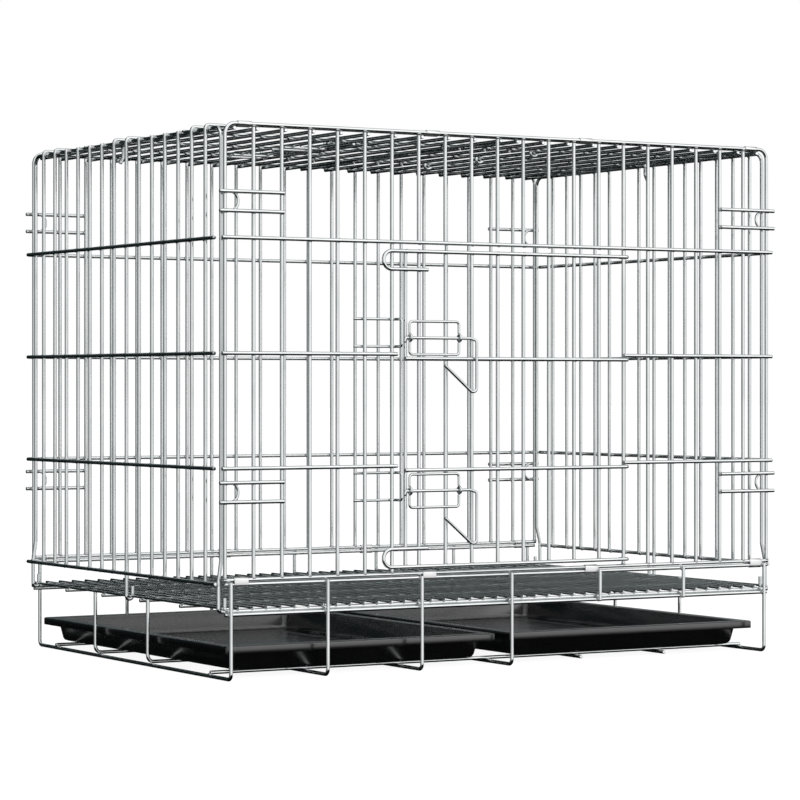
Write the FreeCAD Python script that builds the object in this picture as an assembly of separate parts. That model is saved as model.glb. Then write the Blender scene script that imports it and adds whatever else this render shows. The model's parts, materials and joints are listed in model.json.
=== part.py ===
import FreeCAD, Part
import math
import os

# Folding wire coop: welded wire panels on a wire stand, two sliding trays.
# Cage coordinates: x 0..WIDTH from the left, y 0..DEPTH from the front, z from
# the ground. Everything is shifted so that the origin is under the middle.
V = FreeCAD.Vector

# ---- driving dimensions (mm) ----
WIDTH, DEPTH = 600.0, 416.0
MID_X, MID_Y = 300.0, 206.93
R = 1.75                   # radius of the panel wire
WELD = 0.2                 # how far two crossing wires are pressed together
STEP = 2 * R - WELD        # distance between the axes of crossing wires
RUN = 0.1                  # play of an eye or hook on its pivot wire
CORNER = 10.0              # bend at the top corners of a panel
Z_BOTTOM, Z_TOP = 89.6, 494.4        # bottom and top wire of front and rear
Z_CROSS = (393.0, 290.6, 188.4)      # cross wires of front, rear and sides
PITCH = WIDTH / 21                   # spacing of the front and rear uprights
OVER, GUIDE_OVER = 4.5, 7.0          # cross and guide wires pass the corners
CLIP_Z = ((433.8, 416.6), (175.8, 158.6))   # corner guide wires, in pairs
# front door, in panel coordinates u (across) and v (up)
DOOR_HINGE = 15 * PITCH
DOOR_EDGE, DOOR_END = 185.5, 160.6
DOOR_LOW, DOOR_HIGH = 96.1, 384.8
DOOR_MIDS = (286.6, 184.4)
DOOR_BOLTS = (305.6, 165.4)
LEG_GAP = 16.6             # between the two legs of a door's hairpin end
# top panel and top door
Z_EDGE = Z_TOP - 0.6       # layer of the top's edge and cross wires
Z_LID = Z_EDGE - STEP      # layer of the front-to-back wires of the top
LID_Y0, LID_Y1 = 4.2, DEPTH + 4.2    # edge wires, behind front and rear panel's
LID_EDGE = 10.5            # inset of the top's side edge wires
LID_END = 7.5              # inset of the ends of its wires across
LID_SIDE = 5.0             # top wires stand this far beside the rear uprights
LID_CROSS = (98.5, 311.5)
LID_HINGE = 14 * PITCH - LID_SIDE
LID_DOOR_EDGE, LID_DOOR_END = 191.0, 166.0
LID_DOOR_LOW, LID_DOOR_HIGH = 105.0, 305.0
LID_DOOR_MIDS = (205.0,)
LID_DOOR_BOLTS = (256.0, 152.0)
# bolts
BOLT_R, GUIDE_R = 1.4, 1.25
W_DOOR = 2 * R + RUN       # layer of a door's cross wires, in front of the panel
W_GUIDE = W_DOOR - 0.35     # layer of the bolt guides
W_BOLT = W_GUIDE + 1.0     # layer of the bolts
# side panels
SIDE_X = 0.0               # in line with the ends of the front panel
Z_SIDE_LOW, Z_SIDE = 86.0, 491.2     # bottom and top wire of a side panel
Z_LEAN = (88.0, 106.0)     # here its ends lean out to the floor hooks
HOOK_SHIFT = -1.3          # floor hooks beside the ends of a side panel
SIDE_Y0, SIDE_Y1 = 7.4, 411.4
SIDE_START, SIDE_PITCH = 4.2, 27.15
HOOK_TOP = (1, 2, 7, 8, 13, 14)
HOOK_Z = Z_LID + 2 * R + 0.5         # hooks pass over the top's edge wires
HOOK_BEND = 3.3
# floor grid and stand
R_FLOOR = 1.25
Z_FLOOR = 64.6             # front-to-back wires of the floor
Z_FLOOR_X = Z_FLOOR - 2.85  # wires across, under them
FLOOR_PITCH = WIDTH / 42
HOOK_RAD = R + R_FLOOR + RUN         # centre line of a hook round the edge wire
FLOOR_EDGE = -SIDE_X - STEP + HOOK_RAD
Z_RAIL, Z_RAIL_LOW = 85.6, 59.1
# full legs, each at the front and at the rear
LEG_X = ((4.4, 8.0), (102.6, 104.8), (201.6, 201.6), (299.6, 299.6), (594.7, 593.0))
BAY_X = (399.4, 497.0)     # legs cut away in front, for the tray bay
RUNNER_Y = (37.5, 373.0)
SIDE_LEG_Y = ((161.0, 141.0), (276.0, 256.5))
SIDE_LEG_X = FLOOR_EDGE + R + R_FLOOR - 0.15
# sheet clips that join the panels
CLIP_X = (12.5, 208.0, 378.0, 573.5)
FRONT_CLIP_X = (8.6, 203.6, 383.4, 578.7)   # under the door, beside the legs
CLIP_LEN, CLIP_THICK, CLIP_GAP = 14.0, 0.6, 0.06
# trays
TRAY_W, TRAY_Y0, TRAY_Y1 = 284.0, 12.0, 412.0
TRAY_X = (8.2, 308.0)
TRAY_Z0, TRAY_Z1 = 7.1, 29.9
TRAY_RIM, TRAY_LIP, TRAY_T, TRAY_TAPER = 10.5, 7.2, 1.8, 4.2


def at(x, y, z):
    return V(x - MID_X, y - MID_Y, z)


# panel coordinates: u across, v along, w outwards
def front(u, v, w):
    return at(u, -w, v)


def rear(u, v, w):
    return at(u, DEPTH + w, v)


def left(u, v, w):
    return at(-SIDE_X - w, u, v)


def right(u, v, w):
    return at(WIDTH + SIDE_X + w, u, v)


def lid(u, v, w):
    return at(u, v, Z_LID + w)


def rod(p, q, r=R):
    return Part.makeCylinder(r, (q - p).Length, p, q - p)


def bent(points, r, bends):
    """A wire along straight runs joined by tangent arcs."""
    if not isinstance(bends, (list, tuple)):
        bends = [bends] * (len(points) - 2)
    edges, here = [], points[0]
    for i in range(1, len(points) - 1):
        a = (points[i - 1] - points[i]).normalize()
        b = (points[i + 1] - points[i]).normalize()
        half = math.acos(max(-1, min(1, a.dot(b)))) / 2
        t = bends[i - 1] / math.tan(half)
        p, q = points[i] + a * t, points[i] + b * t
        axis = (a + b).normalize()
        m = points[i] + axis * (bends[i - 1] / math.sin(half) - bends[i - 1])
        if (p - here).Length > 1e-4:
            edges.append(Part.makeLine(here, p))
        edges.append(Part.Arc(p, m, q).toShape())
        here = q
    if (points[-1] - here).Length > 1e-4:
        edges.append(Part.makeLine(here, points[-1]))
    d = edges[0].tangentAt(edges[0].FirstParameter)
    ring = Part.Wire([Part.makeCircle(r, points[0], d)])
    body = Part.Wire(edges).makePipeShell([ring], True, False)
    if body.ShapeType != "Solid":
        body = body.Solids[0]
    if body.Volume < 0:
        body.reverse()
    want = math.pi * r * r * sum(e.Length for e in edges)
    assert body.isValid() and abs(body.Volume / want - 1) < 2e-3, (body.Volume, want)
    return body


made = {}


def node(name, solids):
    shape = Part.makeCompound(solids) if len(solids) > 1 else solids[0]
    made[name] = shape
    shape.exportStep("parts/" + name + ".step")


def corner_guides(m):
    """Short guide wires at the four corners of the front or rear panel, and the
    half ring that joins each pair."""
    wires, rings = [], []
    for top, low in CLIP_Z:
        for v in (top, low):
            wires.append(rod(m(-GUIDE_OVER, v, STEP), m(58, v, STEP)))
            wires.append(rod(m(WIDTH - 58, v, STEP), m(WIDTH + GUIDE_OVER, v, STEP)))
        mid, reach = (top + low) / 2, (top - low) / 2
        w = STEP - R - GUIDE_R + 0.02   # behind the guides
        for u0, s in ((4.5, 1), (WIDTH - 4.5, -1)):
            u1 = u0 + s * 8.6
            path = [m(u0, mid + reach, w), m(u1, mid + reach, w),
                    m(u1, mid - reach, w), m(u0, mid - reach, w)]
            rings.append(bent(path, GUIDE_R, reach - 0.2))
    return wires, rings


def latch(m, u0, v, hook, w0):
    """One slide bolt: its guide frame with two eyes, and the bent bolt.
    u0 is the left side of the guide, w0 the layer it is welded in."""
    u1, half = u0 + 53.0, 15.2
    wb = W_BOLT
    eye = BOLT_R + RUN + GUIDE_R
    reach = eye + GUIDE_R - 0.08
    guide = []
    for s in (1, -1):
        guide.append(bent([m(u0, v + s * reach, w0), m(u0, v + s * half, w0),
                           m(u1, v + s * half, w0), m(u1, v + s * reach, w0)],
                          GUIDE_R, 3.0))
    eyes = []
    for u in (u0, u1):
        c = m(u, v, wb)
        eyes.append(Part.makeTorus(eye, GUIDE_R, c, m(u + 1, v, wb) - c))
    wh = w0 + 3.9
    bolt = bent([m(u0 - 5.5, v - hook, wb), m(u0 - 5.5, v, wb), m(u1 + 12.0, v, wb),
                 m(u1 + 17.0, v - 2.0, wh), m(u1 + 17.0, v - 54.0, wh),
                 m(u1 - 17.5, v - 25.0, wh)], BOLT_R, [1.8, 3.2, 2.6, 4.0])
    return guide, eyes, bolt


def catch(m, u_post, v, wb):
    """Loop on the panel: welded behind two uprights, its end stands out in front
    of the bolt."""
    u_out, w_out = u_post + 6.0, wb + BOLT_R + GUIDE_R + 0.6
    v0, v1 = v - 8.0, v + 17.0
    return bent([m(u_post - 38.5, v1, -R - GUIDE_R + 0.2), m(u_post + 4.6, v1, -R - GUIDE_R + 0.2),
                 m(u_out, v1, w_out), m(u_out, v0, w_out),
                 m(u_post + 4.6, v0, -R - GUIDE_R + 0.2), m(u_post - 38.5, v0, -R - GUIDE_R + 0.2)],
                GUIDE_R, [1.6, 2.5, 2.5, 1.6])


def door(m, hinge, posts, edge, end, low, high, mids, bolts):
    """A door whose cross wires end in eyes round the panel upright at hinge."""
    w = W_DOOR
    turn = R + RUN + R

    def eyed(v, lead):
        """lead: points from the free end to a point on the straight run."""
        a = math.radians(300)
        edges = []
        pts = lead + [m(hinge, v, w)]
        here = pts[0]
        for i in range(1, len(pts) - 1):
            p0, p1, p2 = pts[i - 1], pts[i], pts[i + 1]
            a0, b0 = (p0 - p1).normalize(), (p2 - p1).normalize()
            t = LEG_GAP / 2
            p, q = p1 + a0 * t, p1 + b0 * t
            mid = p1 + (a0 + b0) * t - (a0 + b0).normalize() * t
            if (p - here).Length > 1e-4:
                edges.append(Part.makeLine(here, p))
            edges.append(Part.Arc(p, mid, q).toShape())
            here = q
        edges.append(Part.makeLine(here, pts[-1]))

        def on(angle):
            return m(hinge + turn * math.sin(angle), v, w - turn + turn * math.cos(angle))

        edges.append(Part.Arc(on(0), on(a / 2), on(a)).toShape())
        d = edges[0].tangentAt(edges[0].FirstParameter)
        ring = Part.Wire([Part.makeCircle(R, pts[0], d)])
        body = Part.Wire(edges).makePipeShell([ring], True, False)
        if body.ShapeType != "Solid":
            body = body.Solids[0]
        if body.Volume < 0:
            body.reverse()
        want = math.pi * R * R * sum(e.Length for e in edges)
        assert body.isValid() and abs(body.Volume / want - 1) < 2e-3
        return body

    back = edge + 22.5
    frame = [
        eyed(high, [m(back, high - LEG_GAP, w), m(end, high - LEG_GAP, w), m(end, high, w)]),
        eyed(low, [m(back, low + LEG_GAP, w), m(end, low + LEG_GAP, w), m(end, low, w)]),
    ]
    cross = [eyed(v, [m(edge - 2.0, v, w)]) for v in mids]
    wp = w - STEP                       # layer of the door's uprights
    uprights = [rod(m(u, low - 1.2, wp), m(u, high + 1.2, wp)) for u in [edge] + posts]
    guides, eyes, rods = [], [], []
    for v in bolts:
        g, e, b = latch(m, edge + 2.85, v, 4.5, W_GUIDE)
        guides += g
        eyes += e
        rods.append(b)
    return frame, cross, uprights, guides, eyes, rods


def clip(p, q, axis):
    """Sheet clip bent round two parallel wires at p and q, CLIP_LEN along axis."""
    d = (q - p).normalize()
    n = d.cross(axis)

    def slot(r):
        a, b = p + n * r, p - n * r
        c, e = q - n * r, q + n * r
        return Part.Face(Part.Wire([
            Part.Arc(a, p - d * r, b).toShape(), Part.makeLine(b, c),
            Part.Arc(c, q + d * r, e).toShape(), Part.makeLine(e, a)]))

    inner = R + CLIP_GAP
    return slot(inner + CLIP_THICK).extrude(axis * CLIP_LEN).cut(
        slot(inner).extrude(axis * CLIP_LEN))


def rounded(x0, y0, x1, y1, z, r):
    p = [at(x0 + r, y0, z), at(x1 - r, y0, z), at(x1, y0 + r, z), at(x1, y1 - r, z),
         at(x1 - r, y1, z), at(x0 + r, y1, z), at(x0, y1 - r, z), at(x0, y0 + r, z)]
    c = [at(x1 - r, y0 + r, z), at(x1 - r, y1 - r, z), at(x0 + r, y1 - r, z),
         at(x0 + r, y0 + r, z)]
    edges = []
    for i in range(4):
        a, b, d = p[2 * i], p[2 * i + 1], p[(2 * i + 2) % 8]
        edges.append(Part.makeLine(a, b))
        m = c[i] + ((b + d) * 0.5 - c[i]).normalize() * r
        edges.append(Part.Arc(b, m, d).toShape())
    return Part.Wire(edges)


def tray(x0):
    x1 = x0 + TRAY_W
    y0, y1, t, k = TRAY_Y0, TRAY_Y1, TRAY_T, TRAY_RIM

    def prism(inset, z0, z1, r):
        f = Part.Face(rounded(x0 + inset, y0 + inset, x1 - inset, y1 - inset, z0, r))
        return f.extrude(V(0, 0, z1 - z0))

    def tub(inset, z0, z1, extra):
        return Part.makeLoft([
            rounded(x0 + inset + TRAY_TAPER, y0 + inset + TRAY_TAPER,
                    x1 - inset - TRAY_TAPER, y1 - inset - TRAY_TAPER, z0, 5.0 - extra),
            rounded(x0 + inset, y0 + inset, x1 - inset, y1 - inset, z1, 5.5 - extra),
        ], True)

    z0, z1 = TRAY_Z0, TRAY_Z1
    plate = prism(0, z1 - t, z1, 3.5)
    lip = prism(0, z1 - TRAY_LIP, z1 - t, 3.5).cut(prism(t, z1 - TRAY_LIP, z1 - t, 3.5 - t))
    body = tub(k, z0, z1 - t, 0).fuse(plate).fuse(lip)
    body = body.cut(tub(k + t, z0 + t, z1 + 0.01, t)).removeSplitter()
    return body.Solids[0]


def main():
    os.makedirs("parts", exist_ok=True)
    top_end, low_end = Z_TOP - R + WELD, Z_BOTTOM + R - WELD
    ex = V(1, 0, 0)

    # ---- front panel ----
    node("front_outer_wire", [bent(
        [front(0, low_end, 0), front(0, Z_TOP, 0), front(WIDTH, Z_TOP, 0),
         front(WIDTH, low_end, 0)], R, CORNER)])
    node("front_bottom_wire", [rod(front(-R, Z_BOTTOM, 0), front(WIDTH + R, Z_BOTTOM, 0))])
    node("front_uprights", [
        rod(front(k * PITCH, Z_CROSS[0] - 0.6 if 7 <= k <= 14 else low_end, 0),
            front(k * PITCH, top_end, 0)) for k in range(1, 21)])
    cross = [rod(front(-OVER, Z_CROSS[0], STEP), front(WIDTH + OVER, Z_CROSS[0], STEP))]
    for v in Z_CROSS[1:]:
        cross.append(rod(front(-OVER, v, STEP), front(6 * PITCH + 4, v, STEP)))
        cross.append(rod(front(DOOR_HINGE - 1.6, v, STEP), front(WIDTH + OVER, v, STEP)))
    node("front_cross_wires", cross)
    wires, rings = corner_guides(front)
    node("front_corner_guides", wires)
    node("front_corner_rings", rings)
    node("front_door_catches",
         [catch(front, 6 * PITCH, v, W_BOLT) for v in DOOR_BOLTS])

    # ---- front door and its bolts ----
    posts = [k * PITCH for k in range(7, 15)]
    frame, cross, uprights, guides, eyes, bolts = door(
        front, DOOR_HINGE, posts, DOOR_EDGE, DOOR_END, DOOR_LOW, DOOR_HIGH,
        DOOR_MIDS, DOOR_BOLTS)
    node("front_door_hairpins", frame)
    node("front_door_cross_wires", cross)
    node("front_door_uprights", uprights)
    node("front_door_bolt_guides", guides)
    node("front_door_bolt_eyes", eyes)
    node("front_upper_bolt", [bolts[0]])
    node("front_lower_bolt", [bolts[1]])

    # ---- rear panel ----
    node("rear_outer_wire", [bent(
        [rear(0, low_end, 0), rear(0, Z_TOP, 0), rear(WIDTH, Z_TOP, 0),
         rear(WIDTH, low_end, 0)], R, CORNER)])
    node("rear_bottom_wire", [rod(rear(-R, Z_BOTTOM, 0), rear(WIDTH + R, Z_BOTTOM, 0))])
    node("rear_uprights", [rod(rear(k * PITCH, low_end, 0), rear(k * PITCH, top_end, 0))
                           for k in range(1, 21)])
    node("rear_cross_wires", [rod(rear(-OVER, v, STEP), rear(WIDTH + OVER, v, STEP))
                              for v in Z_CROSS])
    wires, rings = corner_guides(rear)
    node("rear_corner_guides", wires)
    node("rear_corner_rings", rings)

    # ---- side panels ----
    y0, y1 = SIDE_Y0, SIDE_Y1
    drop = Z_FLOOR - HOOK_RAD           # lowest line of a floor hook
    for name, m in (("left", left), ("right", right)):
        def foot(u):                    # floor hook, and the run above it
            return [m(u, Z_FLOOR + 9.0, STEP - 2 * HOOK_RAD),
                    m(u, drop, STEP - 2 * HOOK_RAD), m(u, drop, STEP), m(u, Z_LEAN[0], STEP)]

        node(name + "_outer_wire", [bent(
            foot(y0 + HOOK_SHIFT) + [m(y0, Z_LEAN[1], 0), m(y0, Z_SIDE, 0), m(y1, Z_SIDE, 0),
                                     m(y1, Z_LEAN[1], 0)] + foot(y1 + HOOK_SHIFT)[::-1],
            R, [HOOK_RAD, HOOK_RAD, 8.0, 8.0, CORNER, CORNER, 8.0, 8.0, HOOK_RAD, HOOK_RAD])])
        node(name + "_bottom_wire", [rod(m(4.8, Z_SIDE_LOW, 2 * STEP),
                                         m(DEPTH, Z_SIDE_LOW, 2 * STEP))])
        plain = [k for k in range(1, 15) if k not in HOOK_TOP]
        node(name + "_uprights", [
            rod(m(u, Z_SIDE_LOW - 0.2, STEP), m(u, Z_SIDE + R, STEP))
            for u in [SIDE_START + k * SIDE_PITCH for k in plain]])
        hooked = []
        for k in HOOK_TOP:
            u = SIDE_START + k * SIDE_PITCH
            pts = [m(u, HOOK_Z, STEP), m(u, HOOK_Z, -16.5)]
            if k == 7:                  # this one also hooks under the floor's edge
                pts = [m(u, Z_FLOOR + 9.0, STEP - 2 * HOOK_RAD),
                       m(u, drop, STEP - 2 * HOOK_RAD), m(u, drop, STEP)] + pts
                hooked.append(bent(pts, R, [HOOK_RAD, HOOK_RAD, HOOK_BEND]))
            else:
                hooked.append(bent([m(u, Z_SIDE_LOW - 0.2, STEP)] + pts, R, HOOK_BEND))
        node(name + "_hook_uprights", hooked)
        node(name + "_cross_wires", [
            rod(m(7.0, v, 2 * STEP), m(DEPTH, v, 2 * STEP)) for v in Z_CROSS])

    # ---- top panel ----
    lane = [k * PITCH + (LID_SIDE if k <= 10 else -LID_SIDE) for k in range(21)]
    x0, x1 = LID_END, WIDTH - LID_END
    node("top_edge_wires", [rod(lid(x0, v, STEP), lid(x1, v, STEP))
                            for v in (LID_Y0, LID_Y1)])
    long = [rod(lid(u, LID_Y0 - 3.2, 0), lid(u, LID_Y1 + 1.4, 0))
            for u in [LID_EDGE] + lane[1:7] + lane[14:] + [WIDTH - LID_EDGE]]
    for u in lane[7:14]:
        long.append(rod(lid(u, LID_Y0 - 3.2, 0), lid(u, LID_CROSS[0] + 2.6, 0)))
        long.append(rod(lid(u, LID_CROSS[1] - 2.6, 0), lid(u, LID_Y1 + 1.4, 0)))
    node("top_long_wires", long)
    mid = LID_DOOR_MIDS[0] + 5.0
    node("top_cross_wires", [rod(lid(x0, v, STEP), lid(x1, v, STEP))
                             for v in LID_CROSS] + [
        rod(lid(x0, mid, STEP), lid(lane[6] + 4, mid, STEP)),
        rod(lid(LID_HINGE - 1.6, mid, STEP), lid(x1, mid, STEP))])
    node("top_door_catches",
         [catch(lid, lane[6], v, W_BOLT) for v in LID_DOOR_BOLTS])
    node("top_hook_tails", [
        bent([lid(u, y, 1.2), lid(u, y, -10.0), lid(u - s * 3.5, y, -17.0)], R, 8.0)
        for u, s, y in ((LID_EDGE + STEP + 0.1, 1, 237.0),
                        (WIDTH - LID_EDGE - STEP - 0.1, -1, 186.0))])

    # ---- top door ----
    frame, cross, uprights, guides, eyes, bolts = door(
        lid, LID_HINGE, lane[7:14], LID_DOOR_EDGE, LID_DOOR_END, LID_DOOR_LOW,
        LID_DOOR_HIGH, LID_DOOR_MIDS, LID_DOOR_BOLTS)
    node("top_door_hairpins", frame)
    node("top_door_cross_wire", cross)
    node("top_door_uprights", uprights)
    node("top_door_bolt_guides", guides)
    node("top_door_bolt_eyes", eyes)
    node("top_rear_bolt", [bolts[0]])
    node("top_front_bolt", [bolts[1]])

    # ---- sheet clips ----
    node("front_bottom_clips", [clip(at(x, 0, Z_RAIL), at(x, 0, Z_BOTTOM), ex)
                                for x in FRONT_CLIP_X])
    node("rear_bottom_clips", [clip(at(x, DEPTH, Z_RAIL), at(x, DEPTH, Z_BOTTOM), ex)
                               for x in CLIP_X])
    node("top_front_clips", [clip(at(x, 0, Z_TOP), at(x, LID_Y0, Z_EDGE), ex)
                             for x in CLIP_X])
    node("top_rear_clips", [clip(at(x, DEPTH, Z_TOP), at(x, LID_Y1, Z_EDGE), ex)
                            for x in CLIP_X])

    # ---- floor grid ----
    node("floor_long_wires", [
        rod(at(x, -1.25, Z_FLOOR), at(x, DEPTH + 1.25, Z_FLOOR), R_FLOOR)
        for x in [FLOOR_EDGE] + [k * FLOOR_PITCH for k in range(1, 42)]
        + [WIDTH - FLOOR_EDGE]])
    node("floor_cross_wires", [
        rod(at(-3, y, Z_FLOOR_X), at(WIDTH + 3, y, Z_FLOOR_X))
        for y in (2.2, 83.8, 166.6, 249.4, 332.2, DEPTH - 2.2)])

    # ---- stand ----
    node("stand_rails", [rod(at(0, y, z), at(WIDTH, y, z))
                         for y in (0, DEPTH) for z in (Z_RAIL, Z_RAIL_LOW - 0.35)])
    leg0, leg1, high = -STEP, DEPTH + STEP, Z_RAIL + R
    node("stand_legs", [bent(
        [at(x, leg0, high), at(x, leg0, R), at(xr, leg1, R), at(xr, leg1, high)], R, 5.0)
        for x, xr in LEG_X])
    node("stand_bay_legs", [bent(
        [at(x, RUNNER_Y[0] - 9.0, R), at(x, leg1, R), at(x, leg1, high)], R, 6.0)
        for x in BAY_X])
    node("stand_bay_posts", [rod(at(x, leg0, Z_RAIL_LOW - 2.0), at(x, leg0, high))
                             for x in BAY_X])
    node("stand_runners", [rod(at(4.5, y, R + STEP), at(WIDTH - 4.5, y, R + STEP))
                           for y in RUNNER_Y])
    sx0, sx1 = SIDE_LEG_X, WIDTH - SIDE_LEG_X
    node("stand_side_legs", [bent(
        [at(sx0, yl, Z_FLOOR + 1.0), at(sx0, yl, R + STEP), at(sx1, yr, R + STEP),
         at(sx1, yr, Z_FLOOR + 1.0)], R, 6.0) for yl, yr in SIDE_LEG_Y])

    # ---- trays ----
    node("left_tray", [tray(TRAY_X[0])])
    node("right_tray", [tray(TRAY_X[1])])

    box = FreeCAD.BoundBox()
    for s in made.values():
        box.add(s.optimalBoundingBox(True, False))
    print("nodes", len(made), "box", box)


main()
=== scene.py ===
"""Folding wire coop: smooth bent wires with welds, sheet clips and moulded trays,
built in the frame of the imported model. Lengths below are in mm, meshes in metres."""

import json
import math
import random

import bpy
from mathutils import Matrix, Vector


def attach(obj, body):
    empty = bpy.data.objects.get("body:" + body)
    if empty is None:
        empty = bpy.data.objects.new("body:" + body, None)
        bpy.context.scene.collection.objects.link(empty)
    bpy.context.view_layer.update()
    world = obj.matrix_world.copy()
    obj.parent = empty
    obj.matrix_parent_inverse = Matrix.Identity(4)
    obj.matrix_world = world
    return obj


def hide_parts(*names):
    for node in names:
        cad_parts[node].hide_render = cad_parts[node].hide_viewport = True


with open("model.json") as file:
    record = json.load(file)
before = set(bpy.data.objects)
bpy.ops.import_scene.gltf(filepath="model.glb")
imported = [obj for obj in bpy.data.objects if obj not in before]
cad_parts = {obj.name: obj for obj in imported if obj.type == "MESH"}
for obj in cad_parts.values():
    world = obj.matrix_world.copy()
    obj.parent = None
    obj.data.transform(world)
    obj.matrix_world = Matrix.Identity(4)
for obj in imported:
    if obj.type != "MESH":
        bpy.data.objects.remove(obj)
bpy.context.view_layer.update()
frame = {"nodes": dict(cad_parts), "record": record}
MM = 0.001
SIDES = 16

# ------------------------------------------------------------------ dimensions
WIDTH, DEPTH = 600.0, 416.0
MID_X, MID_Y = 300.0, 206.93
R, WELD, RUN = 1.75, 0.2, 0.1
STEP = 2 * R - WELD
CORNER = 10.0
Z_BOTTOM, Z_TOP = 89.6, 494.4
Z_CROSS = (393.0, 290.6, 188.4)
PITCH = WIDTH / 21
OVER, GUIDE_OVER = 4.5, 7.0
CLIP_Z = ((433.8, 416.6), (175.8, 158.6))
DOOR_HINGE = 15 * PITCH
DOOR_EDGE, DOOR_END = 185.5, 160.6
DOOR_LOW, DOOR_HIGH = 96.1, 384.8
DOOR_MIDS = (286.6, 184.4)
DOOR_BOLTS = (305.6, 165.4)
LEG_GAP = 16.6
Z_EDGE = Z_TOP - 0.6
Z_LID = Z_EDGE - STEP
LID_Y0, LID_Y1 = 4.2, DEPTH + 4.2
LID_EDGE, LID_END, LID_SIDE = 10.5, 7.5, 5.0
LID_CROSS = (98.5, 311.5)
LID_HINGE = 14 * PITCH - LID_SIDE
LID_DOOR_EDGE, LID_DOOR_END = 191.0, 166.0
LID_DOOR_LOW, LID_DOOR_HIGH = 105.0, 305.0
LID_DOOR_MIDS = (205.0,)
LID_DOOR_BOLTS = (256.0, 152.0)
BOLT_R, GUIDE_R = 1.4, 1.25
W_DOOR = 2 * R + RUN
W_GUIDE = W_DOOR - 0.35
W_BOLT = W_GUIDE + 1.0
SIDE_X = 0.0
Z_SIDE_LOW, Z_SIDE = 86.0, 491.2
Z_LEAN = (88.0, 106.0)
HOOK_SHIFT = -1.3
SIDE_Y0, SIDE_Y1 = 7.4, 411.4
SIDE_START, SIDE_PITCH = 4.2, 27.15
HOOK_TOP = (1, 2, 7, 8, 13, 14)
HOOK_Z = Z_LID + 2 * R + 0.5
HOOK_BEND = 3.3
R_FLOOR = 1.25
Z_FLOOR = 64.6
Z_FLOOR_X = Z_FLOOR - 2.85
FLOOR_PITCH = WIDTH / 42
HOOK_RAD = R + R_FLOOR + RUN
FLOOR_EDGE = -SIDE_X - STEP + HOOK_RAD
Z_RAIL, Z_RAIL_LOW = 85.6, 59.1
LEG_X = ((4.4, 8.0), (102.6, 104.8), (201.6, 201.6), (299.6, 299.6), (594.7, 593.0))
BAY_X = (399.4, 497.0)
RUNNER_Y = (37.5, 373.0)
SIDE_LEG_Y = ((161.0, 141.0), (276.0, 256.5))
SIDE_LEG_X = FLOOR_EDGE + R + R_FLOOR - 0.15
CLIP_X = (12.5, 208.0, 378.0, 573.5)
FRONT_CLIP_X = (8.6, 203.6, 383.4, 578.7)
CLIP_LEN, CLIP_THICK, CLIP_GAP = 14.0, 0.6, 0.06
TRAY_W, TRAY_Y0, TRAY_Y1 = 284.0, 12.0, 412.0
TRAY_X = (8.2, 308.0)
TRAY_Z0, TRAY_Z1 = 7.1, 29.9
TRAY_RIM, TRAY_LIP, TRAY_T, TRAY_TAPER = 10.5, 7.2, 1.8, 4.2


def at(x, y, z):
    return Vector((x - MID_X, y - MID_Y, z))


def front(u, v, w):
    return at(u, -w, v)


def rear(u, v, w):
    return at(u, DEPTH + w, v)


def left(u, v, w):
    return at(-SIDE_X - w, u, v)


def right(u, v, w):
    return at(WIDTH + SIDE_X + w, u, v)


def lid(u, v, w):
    return at(u, v, Z_LID + w)


# ------------------------------------------------------------------ wire paths
def path_of(points, bends=None):
    """Centre line along straight runs joined by tangent arcs."""
    if bends is None:
        return list(points)
    if not isinstance(bends, (list, tuple)):
        bends = [bends] * (len(points) - 2)
    out = [points[0]]
    for i in range(1, len(points) - 1):
        a = (points[i - 1] - points[i]).normalized()
        b = (points[i + 1] - points[i]).normalized()
        half = a.angle(b) / 2
        r = bends[i - 1]
        start = points[i] + a * (r / math.tan(half))
        centre = points[i] + (a + b).normalized() * (r / math.sin(half))
        turn = math.pi - 2 * half
        spoke = start - centre
        axis = spoke.cross(-a).normalized()
        n = max(4, math.ceil(turn / math.radians(8)))
        for k in range(n + 1):
            p = centre + Matrix.Rotation(turn * k / n, 3, axis) @ spoke
            if (p - out[-1]).length > 1e-4:
                out.append(p)
    if (points[-1] - out[-1]).length > 1e-4:
        out.append(points[-1])
    return out


class Wire:
    def __init__(self, path, r, closed=False):
        self.path, self.r, self.closed = path, r, closed


def rod(p, q, r=R):
    return Wire([p, q], r)


def bent(points, r, bends):
    return Wire(path_of(points, bends), r)


def ring(centre, normal, radius, r):
    n = normal.normalized()
    a = n.orthogonal().normalized()
    b = n.cross(a)
    return Wire([centre + a * (radius * math.cos(t)) + b * (radius * math.sin(t))
                 for t in (2 * math.pi * k / 36 for k in range(36))], r, True)


wires = {}


def node(name, parts):
    wires[name] = parts


def corner_guides(m):
    runs, rings = [], []
    for top, low in CLIP_Z:
        for v in (top, low):
            runs.append(rod(m(-GUIDE_OVER, v, STEP), m(58, v, STEP)))
            runs.append(rod(m(WIDTH - 58, v, STEP), m(WIDTH + GUIDE_OVER, v, STEP)))
        mid, reach = (top + low) / 2, (top - low) / 2
        w = STEP - R - GUIDE_R + 0.02
        for u0, s in ((4.5, 1), (WIDTH - 4.5, -1)):
            u1 = u0 + s * 8.6
            rings.append(bent([m(u0, mid + reach, w), m(u1, mid + reach, w),
                               m(u1, mid - reach, w), m(u0, mid - reach, w)],
                              GUIDE_R, reach - 0.2))
    return runs, rings


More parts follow.
